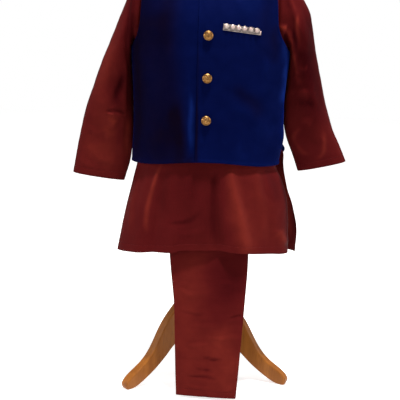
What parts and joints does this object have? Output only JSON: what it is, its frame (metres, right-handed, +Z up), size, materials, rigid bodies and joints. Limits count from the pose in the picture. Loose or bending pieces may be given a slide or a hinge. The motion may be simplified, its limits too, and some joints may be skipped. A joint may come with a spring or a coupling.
{
  "type": "kurta pyjama with jacket on a limbless dress form with a tripod stand",
  "caption": "Child's maroon kurta and folded pyjama with a navy velvet waistcoat, shown on a limbless dress form with a wooden tripod.",
  "frame": {"origin": "on the floor, under the middle of the whole set's outline", "axes": "+Z up; -Y to the front of the garment; +X to the viewer's right, the wearer's left"},
  "size_m": [0.5862, 0.3722, 0.9823],
  "materials": {
    "silk": "soft satin",
    "velvet": "cut pile",
    "button_metal": "antique gold",
    "stone_trim": "clear stones in a silvery setting",
    "form_cover": "plain jersey",
    "wood": "oiled"
  },
  "bodies": {
    "root": {"kurta_front": "silk", "kurta_back": "silk", "kurta_sleeve_left": "silk", "kurta_sleeve_right": "silk", "kurta_collar": "silk", "pyjama_leg_front": "silk", "pyjama_leg_back": "silk", "pyjama_waistband": "silk", "jacket_front_left": "velvet", "jacket_front_right": "velvet", "jacket_back": "velvet", "jacket_collar": "velvet", "jacket_button_1": "button_metal", "jacket_button_2": "button_metal", "jacket_button_3": "button_metal", "jacket_button_4": "button_metal", "jacket_pocket_trim": "stone_trim", "form_torso": "form_cover", "form_neck_cap": "wood", "stand_pole": "wood", "stand_hub": "wood", "stand_leg_1": "wood", "stand_leg_2": "wood", "stand_leg_3": "wood"}
  },
  "joints": []
}
